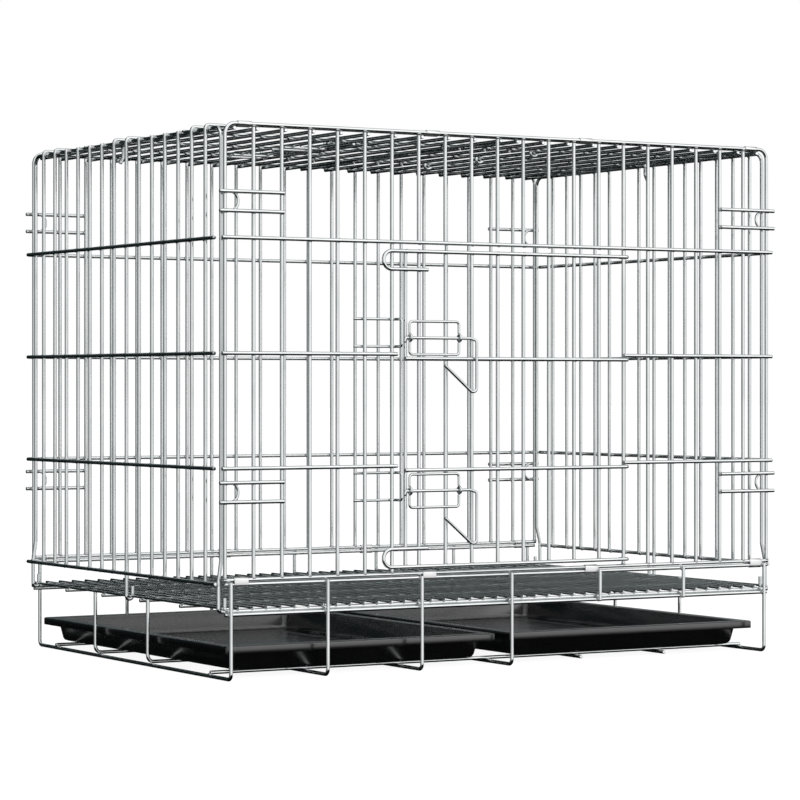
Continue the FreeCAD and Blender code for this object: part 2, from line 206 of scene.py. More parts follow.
def latch(m, u0, v, hook, w0):
    u1, half = u0 + 53.0, 15.2
    wb = W_BOLT
    eye = BOLT_R + RUN + GUIDE_R
    reach = eye + GUIDE_R - 0.08
    guide = [bent([m(u0, v + s * reach, w0), m(u0, v + s * half, w0),
                   m(u1, v + s * half, w0), m(u1, v + s * reach, w0)], GUIDE_R, 3.0)
             for s in (1, -1)]
    eyes = [ring(m(u, v, wb), m(u + 1, v, wb) - m(u, v, wb), eye, GUIDE_R)
            for u in (u0, u1)]
    wh = w0 + 3.9
    bolt = bent([m(u0 - 5.5, v - hook, wb), m(u0 - 5.5, v, wb), m(u1 + 12.0, v, wb),
                 m(u1 + 17.0, v - 2.0, wh), m(u1 + 17.0, v - 54.0, wh),
                 m(u1 - 17.5, v - 25.0, wh)], BOLT_R, [1.8, 3.2, 2.6, 4.0])
    return guide, eyes, bolt


def catch(m, u_post, v, wb):
    u_out, w_out = u_post + 6.0, wb + BOLT_R + GUIDE_R + 0.6
    v0, v1 = v - 8.0, v + 17.0
    return bent([m(u_post - 38.5, v1, -R - GUIDE_R + 0.2), m(u_post + 4.6, v1, -R - GUIDE_R + 0.2),
                 m(u_out, v1, w_out), m(u_out, v0, w_out),
                 m(u_post + 4.6, v0, -R - GUIDE_R + 0.2), m(u_post - 38.5, v0, -R - GUIDE_R + 0.2)],
                GUIDE_R, [1.6, 2.5, 2.5, 1.6])


def door(m, hinge, posts, edge, end, low, high, mids, bolts):
    w, turn = W_DOOR, R + RUN + R

    def eyed(v, lead):
        pts = lead + [m(hinge, v, w)]
        line = path_of(pts, LEG_GAP / 2 if len(pts) > 2 else None)
        for k in range(1, 41):
            a = math.radians(300) * k / 40
            line.append(m(hinge + turn * math.sin(a), v, w - turn + turn * math.cos(a)))
        return Wire(line, R)

    back = edge + 22.5
    hairpins = [
        eyed(high, [m(back, high - LEG_GAP, w), m(end, high - LEG_GAP, w), m(end, high, w)]),
        eyed(low, [m(back, low + LEG_GAP, w), m(end, low + LEG_GAP, w), m(end, low, w)])]
    cross = [eyed(v, [m(edge - 2.0, v, w)]) for v in mids]
    wp = w - STEP
    uprights = [rod(m(u, low - 1.2, wp), m(u, high + 1.2, wp)) for u in [edge] + posts]
    guides, eyes, rods = [], [], []
    for v in bolts:
        g, e, b = latch(m, edge + 2.85, v, 4.5, W_GUIDE)
        guides += g
        eyes += e
        rods.append(b)
    return hairpins, cross, uprights, guides, eyes, rods


def draw_wires():
    top_end, low_end = Z_TOP - R + WELD, Z_BOTTOM + R - WELD
    # front panel
    node("front_outer_wire", [bent([front(0, low_end, 0), front(0, Z_TOP, 0),
                                    front(WIDTH, Z_TOP, 0), front(WIDTH, low_end, 0)], R, CORNER)])
    node("front_bottom_wire", [rod(front(-R, Z_BOTTOM, 0), front(WIDTH + R, Z_BOTTOM, 0))])
    node("front_uprights", [rod(front(k * PITCH, Z_CROSS[0] - 0.6 if 7 <= k <= 14 else low_end, 0),
                                front(k * PITCH, top_end, 0)) for k in range(1, 21)])
    cross = [rod(front(-OVER, Z_CROSS[0], STEP), front(WIDTH + OVER, Z_CROSS[0], STEP))]
    for v in Z_CROSS[1:]:
        cross.append(rod(front(-OVER, v, STEP), front(6 * PITCH + 4, v, STEP)))
        cross.append(rod(front(DOOR_HINGE - 1.6, v, STEP), front(WIDTH + OVER, v, STEP)))
    node("front_cross_wires", cross)
    runs, rings = corner_guides(front)
    node("front_corner_guides", runs)
    node("front_corner_rings", rings)
    node("front_door_catches", [catch(front, 6 * PITCH, v, W_BOLT) for v in DOOR_BOLTS])
    # front door
    h, c, u, g, e, b = door(front, DOOR_HINGE, [k * PITCH for k in range(7, 15)], DOOR_EDGE,
                            DOOR_END, DOOR_LOW, DOOR_HIGH, DOOR_MIDS, DOOR_BOLTS)
    node("front_door_hairpins", h)
    node("front_door_cross_wires", c)
    node("front_door_uprights", u)
    node("front_door_bolt_guides", g)
    node("front_door_bolt_eyes", e)
    node("front_upper_bolt", [b[0]])
    node("front_lower_bolt", [b[1]])
    # rear panel
    node("rear_outer_wire", [bent([rear(0, low_end, 0), rear(0, Z_TOP, 0),
                                   rear(WIDTH, Z_TOP, 0), rear(WIDTH, low_end, 0)], R, CORNER)])
    node("rear_bottom_wire", [rod(rear(-R, Z_BOTTOM, 0), rear(WIDTH + R, Z_BOTTOM, 0))])
    node("rear_uprights", [rod(rear(k * PITCH, low_end, 0), rear(k * PITCH, top_end, 0))
                           for k in range(1, 21)])
    node("rear_cross_wires", [rod(rear(-OVER, v, STEP), rear(WIDTH + OVER, v, STEP)) for v in Z_CROSS])
    runs, rings = corner_guides(rear)
    node("rear_corner_guides", runs)
    node("rear_corner_rings", rings)
    # side panels
    y0, y1 = SIDE_Y0, SIDE_Y1
    drop = Z_FLOOR - HOOK_RAD
    for name, m in (("left", left), ("right", right)):
        def foot(u):
            return [m(u, Z_FLOOR + 9.0, STEP - 2 * HOOK_RAD),
                    m(u, drop, STEP - 2 * HOOK_RAD), m(u, drop, STEP), m(u, Z_LEAN[0], STEP)]

        node(name + "_outer_wire", [bent(
            foot(y0 + HOOK_SHIFT) + [m(y0, Z_LEAN[1], 0), m(y0, Z_SIDE, 0), m(y1, Z_SIDE, 0),
                                     m(y1, Z_LEAN[1], 0)] + foot(y1 + HOOK_SHIFT)[::-1],
            R, [HOOK_RAD, HOOK_RAD, 8.0, 8.0, CORNER, CORNER, 8.0, 8.0, HOOK_RAD, HOOK_RAD])])
        node(name + "_bottom_wire", [rod(m(4.8, Z_SIDE_LOW, 2 * STEP),
                                         m(DEPTH, Z_SIDE_LOW, 2 * STEP))])
        node(name + "_uprights", [rod(m(u, Z_SIDE_LOW - 0.2, STEP), m(u, Z_SIDE + R, STEP))
                                  for u in [SIDE_START + k * SIDE_PITCH for k in range(1, 15)
                                            if k not in HOOK_TOP]])
        hooked = []
        for k in HOOK_TOP:
            u = SIDE_START + k * SIDE_PITCH
            pts = [m(u, HOOK_Z, STEP), m(u, HOOK_Z, -16.5)]
            if k == 7:
                pts = [m(u, Z_FLOOR + 9.0, STEP - 2 * HOOK_RAD),
                       m(u, drop, STEP - 2 * HOOK_RAD), m(u, drop, STEP)] + pts
                hooked.append(bent(pts, R, [HOOK_RAD, HOOK_RAD, HOOK_BEND]))
            else:
                hooked.append(bent([m(u, Z_SIDE_LOW - 0.2, STEP)] + pts, R, HOOK_BEND))
        node(name + "_hook_uprights", hooked)
        node(name + "_cross_wires", [rod(m(7.0, v, 2 * STEP), m(DEPTH, v, 2 * STEP))
                                     for v in Z_CROSS])
    # top panel
    lane = [k * PITCH + (LID_SIDE if k <= 10 else -LID_SIDE) for k in range(21)]
    x0, x1 = LID_END, WIDTH - LID_END
    node("top_edge_wires", [rod(lid(x0, v, STEP), lid(x1, v, STEP)) for v in (LID_Y0, LID_Y1)])
    runs = [rod(lid(u, LID_Y0 - 3.2, 0), lid(u, LID_Y1 + 1.4, 0))
            for u in [LID_EDGE] + lane[1:7] + lane[14:] + [WIDTH - LID_EDGE]]
    for u in lane[7:14]:
        runs.append(rod(lid(u, LID_Y0 - 3.2, 0), lid(u, LID_CROSS[0] + 2.6, 0)))
        runs.append(rod(lid(u, LID_CROSS[1] - 2.6, 0), lid(u, LID_Y1 + 1.4, 0)))
    node("top_long_wires", runs)
    mid = LID_DOOR_MIDS[0] + 5.0
    node("top_cross_wires", [rod(lid(x0, v, STEP), lid(x1, v, STEP)) for v in LID_CROSS] + [
        rod(lid(x0, mid, STEP), lid(lane[6] + 4, mid, STEP)),
        rod(lid(LID_HINGE - 1.6, mid, STEP), lid(x1, mid, STEP))])
    node("top_door_catches", [catch(lid, lane[6], v, W_BOLT) for v in LID_DOOR_BOLTS])
    node("top_hook_tails", [
        bent([lid(u, y, 1.2), lid(u, y, -10.0), lid(u - s * 3.5, y, -17.0)], R, 8.0)
        for u, s, y in ((LID_EDGE + STEP + 0.1, 1, 237.0),
                        (WIDTH - LID_EDGE - STEP - 0.1, -1, 186.0))])
    # top door
    h, c, u, g, e, b = door(lid, LID_HINGE, lane[7:14], LID_DOOR_EDGE, LID_DOOR_END,
                            LID_DOOR_LOW, LID_DOOR_HIGH, LID_DOOR_MIDS, LID_DOOR_BOLTS)
    node("top_door_hairpins", h)
    node("top_door_cross_wire", c)
    node("top_door_uprights", u)
    node("top_door_bolt_guides", g)
    node("top_door_bolt_eyes", e)
    node("top_rear_bolt", [b[0]])
    node("top_front_bolt", [b[1]])
    # floor grid
    node("floor_long_wires", [
        rod(at(x, -1.25, Z_FLOOR), at(x, DEPTH + 1.25, Z_FLOOR), R_FLOOR)
        for x in [FLOOR_EDGE] + [k * FLOOR_PITCH for k in range(1, 42)] + [WIDTH - FLOOR_EDGE]])
    node("floor_cross_wires", [rod(at(-3, y, Z_FLOOR_X), at(WIDTH + 3, y, Z_FLOOR_X))
                               for y in (2.2, 83.8, 166.6, 249.4, 332.2, DEPTH - 2.2)])
    # stand
    node("stand_rails", [rod(at(0, y, z), at(WIDTH, y, z))
                         for y in (0, DEPTH) for z in (Z_RAIL, Z_RAIL_LOW - 0.35)])
    leg0, leg1, high = -STEP, DEPTH + STEP, Z_RAIL + R
    node("stand_legs", [bent([at(x, leg0, high), at(x, leg0, R), at(xr, leg1, R),
                              at(xr, leg1, high)], R, 5.0) for x, xr in LEG_X])
    node("stand_bay_legs", [bent([at(x, RUNNER_Y[0] - 9.0, R), at(x, leg1, R),
                                  at(x, leg1, high)], R, 6.0) for x in BAY_X])
    node("stand_bay_posts", [rod(at(x, leg0, Z_RAIL_LOW - 2.0), at(x, leg0, high)) for x in BAY_X])
    node("stand_runners", [rod(at(4.5, y, R + STEP), at(WIDTH - 4.5, y, R + STEP)) for y in RUNNER_Y])
    sx0, sx1 = SIDE_LEG_X, WIDTH - SIDE_LEG_X
    node("stand_side_legs", [bent(
        [at(sx0, yl, Z_FLOOR + 1.0), at(sx0, yl, R + STEP), at(sx1, yr, R + STEP),
         at(sx1, yr, Z_FLOOR + 1.0)], R, 6.0) for yl, yr in SIDE_LEG_Y])


# ------------------------------------------------------------------ meshes
class Shape:
    """Vertices and faces of one piece, with a material number and a smooth flag a face."""

    def __init__(self):
        self.v, self.f, self.m, self.s = [], [], [], []

    def face(self, ids, mat=0, smooth=True):
        self.f.append(ids)
        self.m.append(mat)
        self.s.append(smooth)

    def object(self, name, materials):
        mesh = bpy.data.meshes.new(name)
        mesh.from_pydata([p * MM for p in self.v], [], self.f)
        for mat in materials:
            mesh.materials.append(mat)
        mesh.polygons.foreach_set("material_index", self.m)
        mesh.polygons.foreach_set("use_smooth", self.s)
        mesh.validate()
        mesh.update()
        ob = bpy.data.objects.new(name, mesh)
        bpy.context.scene.collection.objects.link(ob)
        return ob


def add_tube(shape, wire):
    """A round wire along its path, with slightly rounded sheared ends."""
    path, r = list(wire.path), wire.r
    n = len(path)
    tangents = []
    for i in range(n):
        if wire.closed:
            t = path[(i + 1) % n] - path[i - 1]
        elif i == 0:
            t = path[1] - path[0]
        elif i == n - 1:
            t = path[-1] - path[-2]
        else:
            t = (path[i + 1] - path[i]).normalized() + (path[i] - path[i - 1]).normalized()
        tangents.append(t.normalized())
    stations = [(p, t, r) for p, t in zip(path, tangents)]
    if not wire.closed:
        # the sheared end: a small round at the rim
        p0, t0, p1, t1 = path[0], tangents[0], path[-1], tangents[-1]
        head = [(p0, t0, r * 0.72), (p0 + t0 * 0.10, t0, r * 0.90), (p0 + t0 * 0.38, t0, r)]
        tail = [(p1 - t1 * 0.38, t1, r), (p1 - t1 * 0.10, t1, r * 0.90), (p1, t1, r * 0.72)]
        stations = head + stations[1:-1] + tail
    # two more rings on each straight run, near its ends, keep its shading straight
    full = []
    for here, there in zip(stations, stations[1:]):
        full.append(here)
        run = there[0] - here[0]
        if run.length > 4.0:
            d = run.normalized()
            full += [(here[0] + d, d, r), (there[0] - d, d, r)]
    stations = full + stations[-1:]
    side = stations[0][1].orthogonal().normalized()
    rows = []
    before = stations[0][1]
    for p, t, rad in stations:
        q = before.rotation_difference(t)
        side = q @ side
        side = (side - t * side.dot(t)).normalized()
        up = t.cross(side)
        first = len(shape.v)
        for k in range(SIDES):
            a = 2 * math.pi * k / SIDES
            shape.v.append(p + side * (rad * math.cos(a)) + up * (rad * math.sin(a)))
        rows.append(first)
        before = t
    for i in range(len(rows) - 1):
        a, b = rows[i], rows[i + 1]
        for k in range(SIDES):
            j = (k + 1) % SIDES
            shape.face((a + k, a + j, b + j, b + k))
    if wire.closed:
        # join the last ring to the first at the twist that is nearest
        a, b = rows[-1], rows[0]
        turn = min(range(SIDES), key=lambda s: (shape.v[a] - shape.v[b + s]).length)
        for k in range(SIDES):
            j = (k + 1) % SIDES
            shape.face((a + k, a + j, b + (j + turn) % SIDES, b + (k + turn) % SIDES))
    else:
        shape.face(tuple(rows[0] + k for k in reversed(range(SIDES))), 0, False)
        shape.face(tuple(rows[-1] + k for k in range(SIDES)), 0, False)


def add_nugget(shape, centre, n, t, size, rng):
    """The squeezed weld between two crossing wires: a small pillow, widest in the four
    corners between the wires."""
    b = n.cross(t).normalized()
    t = b.cross(n).normalized()
    count = 16
    rows = []
    for h, k in ((-0.62, 0.62), (-0.3, 0.94), (0.0, 1.0), (0.3, 0.94), (0.62, 0.62)):
        first = len(shape.v)
        for i in range(count):
            a = 2 * math.pi * i / count
            rho = size * (0.92 + 0.30 * abs(math.sin(2 * a))) * k
            rho *= 1 + 0.05 * math.sin(3 * a + rng[0]) + 0.04 * math.sin(5 * a + rng[1])
            shape.v.append(centre + t * (rho * math.cos(a)) + b * (rho * math.sin(a)) + n * (h * size * 0.8))
        rows.append(first)
    for i in range(len(rows) - 1):
        for k in range(count):
            j = (k + 1) % count
            shape.face((rows[i] + k, rows[i] + j, rows[i + 1] + j, rows[i + 1] + k), 1)
    shape.face(tuple(rows[0] + k for k in reversed(range(count))), 1)
    shape.face(tuple(rows[-1] + k for k in range(count)), 1)


def add_collar(shape, p, t, r, rng):
    """The bead where the end of a wire is welded to the wire that it meets. p is on the
    axis at the face of the other wire, t points away from it."""
    s = t.orthogonal().normalized()
    b = t.cross(s)
    count = 16
    rows = []
    for h, k in ((-0.9, 1.24), (-0.25, 1.30), (0.2, 1.22), (0.7, 1.07), (1.1, 0.98)):
        first = len(shape.v)
        for i in range(count):
            a = 2 * math.pi * i / count
            rho = r * k * (1 + 0.03 * math.sin(2 * a + rng[0]) + 0.03 * math.sin(5 * a + rng[1]))
            shape.v.append(p + s * (rho * math.cos(a)) + b * (rho * math.sin(a)) + t * h)
        rows.append(first)
    for i in range(len(rows) - 1):
        for k in range(count):
            j = (k + 1) % count
            shape.face((rows[i] + k, rows[i] + j, rows[i + 1] + j, rows[i + 1] + k), 1)
    shape.face(tuple(rows[0] + k for k in reversed(range(count))), 1)
    shape.face(tuple(rows[-1] + k for k in range(count)), 1)


def runs_of(wire):
    p = wire.path
    return [(p[i], p[i + 1]) for i in range(len(p) - 1) if (p[i + 1] - p[i]).length > 6.0]


def nearest(p, q, a, b):
    """Closest points of two segments' lines, with their places along the segments in mm."""
    u, v, w = q - p, b - a, p - a
    uu, uv, vv, uw, vw = u.dot(u), u.dot(v), v.dot(v), u.dot(w), v.dot(w)
    d = uu * vv - uv * uv
    if d < 1e-6 * uu * vv:
        return None
    s, t = (uv * vw - vv * uw) / d, (uu * vw - uv * uw) / d
    return p + u * s, a + v * t, s * math.sqrt(uu), t * math.sqrt(vv), math.sqrt(uu), math.sqrt(vv)


def add_welds(shapes, body_of):
    """A weld at each crossing of two wires of one body, and a bead at each welded end."""
    rng = random.Random(7)
    by_body = {}
    for name in sorted(wires):
        for wire in wires[name]:
            for seg in runs_of(wire):
                by_body.setdefault(body_of[name], []).append((name, wire, seg))
    done = 0
    for body in sorted(by_body):
        segs = by_body[body]
        for i in range(len(segs)):
            for j in range(i + 1, len(segs)):
                (na, wa, (p, q)), (nb, wb, (a, b)) = segs[i], segs[j]
                if wa is wb:
                    continue
                lo = [max(min(p[k], q[k]), min(a[k], b[k])) for k in range(3)]
                hi = [min(max(p[k], q[k]), max(a[k], b[k])) for k in range(3)]
                if any(lo[k] - hi[k] > 4.0 for k in range(3)):
                    continue
                found = nearest(p, q, a, b)
                if found is None:
                    continue
                c, d, s, t, ls, lt = found
                gap = (c - d).length - wa.r - wb.r
                twist = (rng.uniform(0, 6.28), rng.uniform(0, 6.28))
                if (c - d).length > 1.0:
                    if -0.35 < gap < 0.06 and -0.5 < s < ls + 0.5 and -0.5 < t < lt + 0.5:
                        n = (d - c).normalized()
                        centre = c + n * (wa.r - (wa.r + wb.r - (d - c).length) / 2)
                        add_nugget(shapes[na], centre, n, (q - p).normalized(),
                                   1.18 * min(wa.r, wb.r), twist)
                        done += 1
                else:
                    # the end of one wire against the side of the other, in one plane
                    for end, other, r_end, r_other, x, y, name, inner in (
                            (s, t, wa.r, wb.r, ls, lt, na, (p, q)),
                            (t, s, wb.r, wa.r, lt, ls, nb, (a, b))):
                        if not -0.5 < other < y + 0.5:
                            continue
                        away = (inner[1] - inner[0]).normalized()
                        foot = d if name == na and inner == (p, q) else c
                        if -r_other - 0.6 < end < 0:
                            add_collar(shapes[name], foot + away * r_other, away, r_end, twist)
                            done += 1
                        elif 0 < end - x < r_other + 0.6:
                            add_collar(shapes[name], foot - away * r_other, -away, r_end, twist)
                            done += 1
    return done


def add_clip(shape, p, q, length):
    """A strip of sheet bent round two parallel wires that run along x, its two edges
    nearly closed on the inside."""
    axis = Vector((1, 0, 0))
    d = (q - p).normalized()
    n = d.cross(axis)
    mid_r = R + CLIP_GAP + CLIP_THICK / 2
    line = []                       # (point, outward normal) round the loop
    gap = 0.35                      # half of the slit between the strip's edges
    middle = (p + q) / 2
    line.append((middle + d * gap + n * mid_r, n))
    for k in range(13):
        a = math.pi * k / 12
        o = n * math.cos(a) + d * math.sin(a)
        line.append((q + o * mid_r, o))
    for k in range(13):
        a = math.pi * k / 12
        o = -n * math.cos(a) - d * math.sin(a)
        line.append((p + o * mid_r, o))
    line.append((middle - d * gap + n * mid_r, n))
    h = CLIP_THICK / 2
    e = 0.18                        # rounded edges of the sheet
    section = [(-h, e), (-h + e * 0.3, e * 0.3), (-h + e, 0), (h - e, 0), (h - e * 0.3, e * 0.3),
               (h, e), (h, length - e), (h - e * 0.3, length - e * 0.3), (h - e, length),
               (-h + e, length), (-h + e * 0.3, length - e * 0.3), (-h, length - e)]
    rows = []
    for pt, o in line:
        first = len(shape.v)
        for off, x in section:
            shape.v.append(pt + o * off + axis * x)
        rows.append(first)
    count = len(section)
    for i in range(len(rows) - 1):
        for k in range(count):
            j = (k + 1) % count
            shape.face((rows[i] + j, rows[i] + k, rows[i + 1] + k, rows[i + 1] + j))
    shape.face(tuple(rows[0] + k for k in range(count)), 0, False)
    shape.face(tuple(rows[-1] + k for k in reversed(range(count))), 0, False)


def outline(x0, y0, x1, y1, r, z, arc=9):
    pts = []
    for cx, cy, start in ((x1 - r, y0 + r, -90), (x1 - r, y1 - r, 0), (x0 + r, y1 - r, 90),
                          (x0 + r, y0 + r, 180)):
        for k in range(arc + 1):
            a = math.radians(start + 90 * k / arc)
            pts.append(at(cx + r * math.cos(a), cy + r * math.sin(a), z))
    return pts


def add_tray(shape, x0):
    """A moulded tray: loops from the foot of the rim's lip over the rim and down the wall
    to the bottom, then back along the underside."""
    x1, y0, y1 = x0 + TRAY_W, TRAY_Y0, TRAY_Y1
    z0, z1, t = TRAY_Z0, TRAY_Z1, TRAY_T
    k = TRAY_RIM + t                     # inset of the inner edge of the rim
    prof = []                            # (inset, height, corner radius)

    def add(i, z, r):
        prof.append((i, z, r))

    low = z1 - TRAY_LIP
    add(0.55, low, 3.1)
    add(0.16, low + 0.12, 3.4)
    add(0.0, low + 0.5, 3.5)
    add(0.0, z1 - 1.4, 3.5)
    for j in range(1, 7):                # rounded outer edge of the rim
        a = math.radians(90 * j / 6)
        add(1.3 * (1 - math.cos(a)), z1 - 1.4 + 1.3 * math.sin(a), 3.5)
    add(4.2, z1 - 0.02, 3.7)
    add(7.5, z1, 4.2)
    add(k - 2.2, z1 - 0.05, 4.9)
    slope = TRAY_TAPER / (z1 - z0 - t)
    for j in range(1, 7):                # rounded inner edge of the rim
        a = math.radians(80 * j / 6)
        add(k - 2.2 + 2.4 * math.sin(a), z1 - 0.05 - 2.4 * (1 - math.cos(a)), 5.2)
    add(k + slope * 9.0, z1 - 9.0, 5.0)
    floor = z0 + t
    foot = k + TRAY_TAPER
    for j in range(0, 8):                # fillet to the bottom
        a = math.radians(90 * j / 7)
        add(foot - 0.7 + 4.5 * (1 - math.cos(a)), floor + 4.5 - 4.5 * math.sin(a), 5.0 + 0.4 * j)
    add(foot + 12.0, floor + 0.02, 9.0)
    # a shallow bead round the bottom stiffens it
    for j in range(0, 9):
        a = math.pi * j / 8
        add(foot + 17.0 + 9.0 * j / 8, floor + 0.02 + 0.8 * math.sin(a) ** 2, 12.5 + 0.4 * j)
    add(foot + 60.0, floor, 20.0)
    rows = []
    for i, z, r in prof:
        first = len(shape.v)
        shape.v.extend(outline(x0 + i, y0 + i, x1 - i, y1 - i, r, z))
        rows.append(first)
    count = 40
    for a, b in zip(rows, rows[1:]):
        for j in range(count):
            m = (j + 1) % count
            shape.face((a + j, a + m, b + m, b + j))
    shape.face(tuple(rows[-1] + j for j in range(count)))
    # underside
    under = [(0.95, low, 2.7), (1.5, low + 0.1, 2.2), (t, low + 0.6, 1.9), (t, z1 - t - 0.8, 1.9),
             (t + 0.8, z1 - t, 2.2), (TRAY_RIM - 1.2, z1 - t, 5.0), (TRAY_RIM - 0.2, z1 - t - 0.5, 5.5),
             (TRAY_RIM + 0.1, z1 - t - 1.5, 5.5), (TRAY_RIM + TRAY_TAPER - 0.8, z0 + 3.2, 5.0),
             (TRAY_RIM + TRAY_TAPER + 0.3, z0 + 0.9, 5.4), (TRAY_RIM + TRAY_TAPER + 2.4, z0, 7.0),
             (TRAY_RIM + TRAY_TAPER + 60.0, z0, 20.0)]
    last = rows[0]
    for i, z, r in under:
        first = len(shape.v)
        shape.v.extend(outline(x0 + i, y0 + i, x1 - i, y1 - i, r, z))
        for j in range(count):
            m = (j + 1) % count
            shape.face((last + m, last + j, first + j, first + m))
        last = first
    shape.face(tuple(last + j for j in reversed(range(count))))


# ------------------------------------------------------------------ materials
def new_material(name):
    mat = bpy.data.materials.new(name)
    mat.use_nodes = True
    nt = mat.node_tree
    nt.nodes.clear()
    out = nt.nodes.new("ShaderNodeOutputMaterial")
    sh = nt.nodes.new("ShaderNodeBsdfPrincipled")
    nt.links.new(sh.outputs[0], out.inputs[0])
    coord = nt.nodes.new("ShaderNodeTexCoord")
    return mat, nt, sh, coord.outputs["Object"]


def noise_of(nt, coord, scale, detail=3.0, rough=0.55, stretch=None):
    if stretch is not None:
        mapping = nt.nodes.new("ShaderNodeMapping")
        mapping.inputs["Scale"].default_value = stretch
        nt.links.new(coord, mapping.inputs["Vector"])
        coord = mapping.outputs[0]
    n = nt.nodes.new("ShaderNodeTexNoise")
    n.inputs["Scale"].default_value = scale
    n.inputs["Detail"].default_value = detail
    n.inputs["Roughness"].default_value = rough
    nt.links.new(coord, n.inputs["Vector"])
    return n.outputs["Fac"]


def ramp_of(nt, fac, stops):
    r = nt.nodes.new("ShaderNodeValToRGB")
    els = r.color_ramp.elements
    while len(els) < len(stops):
        els.new(0.5)
    for e, (pos, col) in zip(els, stops):
        e.position = pos
        e.color = (*col, 1.0)
    nt.links.new(fac, r.inputs[0])
    return r.outputs[0]


def range_of(nt, fac, lo, hi, a=0.3, b=0.7):
    m = nt.nodes.new("ShaderNodeMapRange")
    m.inputs["From Min"].default_value = a
    m.inputs["From Max"].default_value = b
    m.inputs["To Min"].default_value = lo
    m.inputs["To Max"].default_value = hi
    nt.links.new(fac, m.inputs["Value"])
    return m.outputs[0]


def bump_of(nt, height, strength, distance, onto=None):
    b = nt.nodes.new("ShaderNodeBump")
    b.inputs["Strength"].default_value = strength
    b.inputs["Distance"].default_value = distance
    nt.links.new(height, b.inputs["Height"])
    if onto is not None:
        nt.links.new(onto, b.inputs["Normal"])
    return b.outputs[0]


def wire_material():
    mat, nt, sh, co = new_material("plated_wire")
    sh.inputs["Metallic"].default_value = 1.0
    cloud = noise_of(nt, co, 26.0, 4.0)
    col = ramp_of(nt, cloud, [(0.30, (0.66, 0.69, 0.69)), (0.50, (0.735, 0.76, 0.76)),
                              (0.72, (0.79, 0.805, 0.805))])
    nt.links.new(col, sh.inputs["Base Color"])
    nt.links.new(range_of(nt, noise_of(nt, co, 90.0, 4.0), 0.07, 0.15), sh.inputs["Roughness"])
    fine = bump_of(nt, noise_of(nt, co, 1500.0, 2.0), 0.007, 0.0001)
    nt.links.new(bump_of(nt, noise_of(nt, co, 320.0, 3.0), 0.006, 0.0003, fine), sh.inputs["Normal"])
    return mat


def weld_material():
    mat, nt, sh, co = new_material("weld")
    sh.inputs["Metallic"].default_value = 1.0
    col = ramp_of(nt, noise_of(nt, co, 420.0, 4.0), [(0.3, (0.42, 0.44, 0.44)), (0.7, (0.68, 0.70, 0.69))])
    nt.links.new(col, sh.inputs["Base Color"])
    nt.links.new(range_of(nt, noise_of(nt, co, 700.0, 4.0), 0.28, 0.48), sh.inputs["Roughness"])
    nt.links.new(bump_of(nt, noise_of(nt, co, 900.0, 3.0), 0.20, 0.0003), sh.inputs["Normal"])
    return mat


def clip_material():
    mat, nt, sh, co = new_material("clip_steel")
    sh.inputs["Metallic"].default_value = 1.0
    streak = noise_of(nt, co, 60.0, 5.0, 0.6, (1.0, 24.0, 24.0))
    col = ramp_of(nt, streak, [(0.3, (0.78, 0.79, 0.79)), (0.7, (0.90, 0.905, 0.90))])
    nt.links.new(col, sh.inputs["Base Color"])
    nt.links.new(range_of(nt, streak, 0.22, 0.38), sh.inputs["Roughness"])
    nt.links.new(bump_of(nt, streak, 0.10, 0.0002), sh.inputs["Normal"])
    return mat


def tray_material():
    mat, nt, sh, co = new_material("tray_plastic")
    cloud = noise_of(nt, co, 9.0, 5.0)
    col = ramp_of(nt, cloud, [(0.3, (0.0015, 0.0015, 0.0016)), (0.7, (0.0028, 0.0028, 0.0030))])
    nt.links.new(col, sh.inputs["Base Color"])
    nt.links.new(range_of(nt, noise_of(nt, co, 40.0, 5.0), 0.17, 0.23), sh.inputs["Roughness"])
    grain = bump_of(nt, noise_of(nt, co, 1400.0, 2.0), 0.03, 0.0002)
    nt.links.new(bump_of(nt, noise_of(nt, co, 22.0, 2.0), 0.05, 0.002, grain), sh.inputs["Normal"])
    sh.inputs["IOR"].default_value = 2.0
    return mat


# ------------------------------------------------------------------ build
record = frame["record"]
body_of = {n: b for b, ns in record["behaviour"]["bodies"].items() for n in ns}
WIRE, WELDS, CLIP, TRAY = wire_material(), weld_material(), clip_material(), tray_material()

draw_wires()
shapes = {name: Shape() for name in wires}
for name, parts in wires.items():
    for w in parts:
        add_tube(shapes[name], w)
weld_count = add_welds(shapes, body_of)

clips = {
    "front_bottom_clips": [(at(x, 0, Z_RAIL), at(x, 0, Z_BOTTOM)) for x in FRONT_CLIP_X],
    "rear_bottom_clips": [(at(x, DEPTH, Z_BOTTOM), at(x, DEPTH, Z_RAIL)) for x in CLIP_X],
    "top_front_clips": [(at(x, 0, Z_TOP), at(x, LID_Y0, Z_EDGE)) for x in CLIP_X],
    "top_rear_clips": [(at(x, DEPTH, Z_TOP), at(x, LID_Y1, Z_EDGE)) for x in CLIP_X],
}
finishes = {}
for name, pairs in clips.items():
    shapes[name] = Shape()
    # the rear ones turn close beside two uprights
    trim = at(0.6, 0, 0) - at(0, 0, 0) if name == "top_rear_clips" else Vector()
    for p, q in pairs:
        add_clip(shapes[name], p + trim, q + trim, CLIP_LEN - 2 * trim.x)
    finishes[name] = [CLIP]
for name, x in (("left_tray", TRAY_X[0]), ("right_tray", TRAY_X[1])):
    shapes[name] = Shape()
    add_tray(shapes[name], x)
    finishes[name] = [TRAY]

for name in sorted(shapes):
    ob = shapes[name].object("v_" + name, finishes.get(name, [WIRE, WELDS]))
    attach(ob, body_of[name])
    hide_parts(name)
for name, ob in frame["nodes"].items():
    if not ob.hide_render:
        ob.data.materials.clear()
        ob.data.materials.append(WIRE)

# ------------------------------------------------------------------ stage, light, camera
scene = bpy.context.scene


